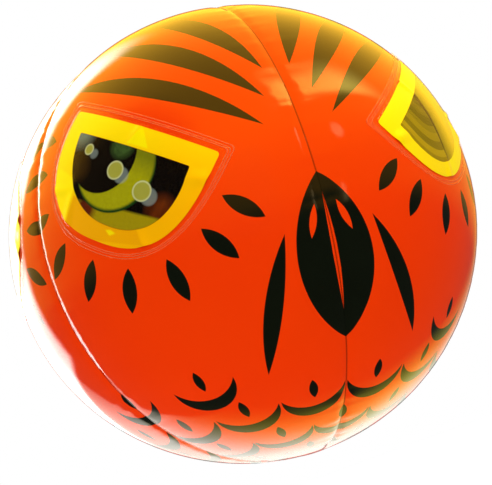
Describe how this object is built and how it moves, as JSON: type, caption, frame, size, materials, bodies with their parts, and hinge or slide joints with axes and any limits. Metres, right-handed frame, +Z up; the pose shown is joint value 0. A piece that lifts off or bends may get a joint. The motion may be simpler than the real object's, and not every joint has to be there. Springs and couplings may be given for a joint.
{
  "type": "inflatable owl decoy",
  "caption": "Hanging inflatable scare ball in welded orange film, with large yellow-rimmed owl eyes all round, a push-in air valve and a fold-down hang tab with a metal eyelet.",
  "frame": {"origin": "centre of the hang tab's eyelet, with the tab standing up", "axes": "+Z up along the ball's pole axis, -Y out of the seam in the middle of the face with eyes 1 and 2, +X to that face's right as seen; the eyelet's bore runs along Y"},
  "size_m": [0.6124, 0.61, 0.6349],
  "materials": {
    "orange_film": "glossy soft vinyl film",
    "yellow_foil": "glossy printed foil",
    "lens_foil": "dark glossy lens foil",
    "clear_film": "clear glossy vinyl film",
    "valve_plastic": "soft satin vinyl",
    "eyelet_metal": "bright plated"
  },
  "bodies": {
    "ball": {"gore_panel_1": "orange_film", "gore_panel_2": "orange_film", "gore_panel_3": "orange_film", "gore_panel_4": "orange_film", "gore_panel_5": "orange_film", "gore_panel_6": "orange_film", "top_pole_disc": "orange_film", "bottom_pole_disc": "orange_film", "eye_patch_1": "yellow_foil", "eye_patch_2": "yellow_foil", "eye_patch_3": "yellow_foil", "eye_patch_4": "yellow_foil", "eye_patch_5": "yellow_foil", "eye_patch_6": "yellow_foil", "eye_lens_1": "lens_foil", "eye_lens_2": "lens_foil", "eye_lens_3": "lens_foil", "eye_lens_4": "lens_foil", "eye_lens_5": "lens_foil", "eye_lens_6": "lens_foil", "eye_cover_1": "clear_film", "eye_cover_2": "clear_film", "eye_cover_3": "clear_film", "eye_cover_4": "clear_film", "eye_cover_5": "clear_film", "eye_cover_6": "clear_film", "valve_flange": "valve_plastic", "tab_base": "orange_film"},
    "valve_stem": {"valve_stem": "valve_plastic"},
    "valve_plug": {"valve_plug": "valve_plastic"},
    "check_flap": {"check_flap": "valve_plastic"},
    "hang_tab": {"hang_tab": "orange_film", "eyelet_barrel": "eyelet_metal", "eyelet_washer": "eyelet_metal"}
  },
  "joints": [
    {"name": "valve_pull", "type": "slide", "parent": "ball", "child": "valve_stem", "axis": [0.1926, 0.3905, -0.9002], "range_m": [0, 0.012]},
    {"name": "plug_hinge", "type": "hinge", "parent": "valve_stem", "child": "valve_plug", "pos_m": [0.07227, 0.1149, -0.59067], "axis": [-0.3982, -0.8074, -0.4354], "range_deg": [0, 160]},
    {"name": "flap_hinge", "type": "hinge", "parent": "valve_stem", "child": "check_flap", "pos_m": [0.05044, 0.11584, -0.57244], "axis": [-0.3982, -0.8074, -0.4354], "range_deg": [0, 55], "stiffness_Nm_per_rad": 0.0002},
    {"name": "tab_fold", "type": "hinge", "parent": "ball", "child": "hang_tab", "pos_m": [0, 0, -0.02], "axis": [1, 0, 0], "range_deg": [-80, 80], "stiffness_Nm_per_rad": 0.01}
  ]
}
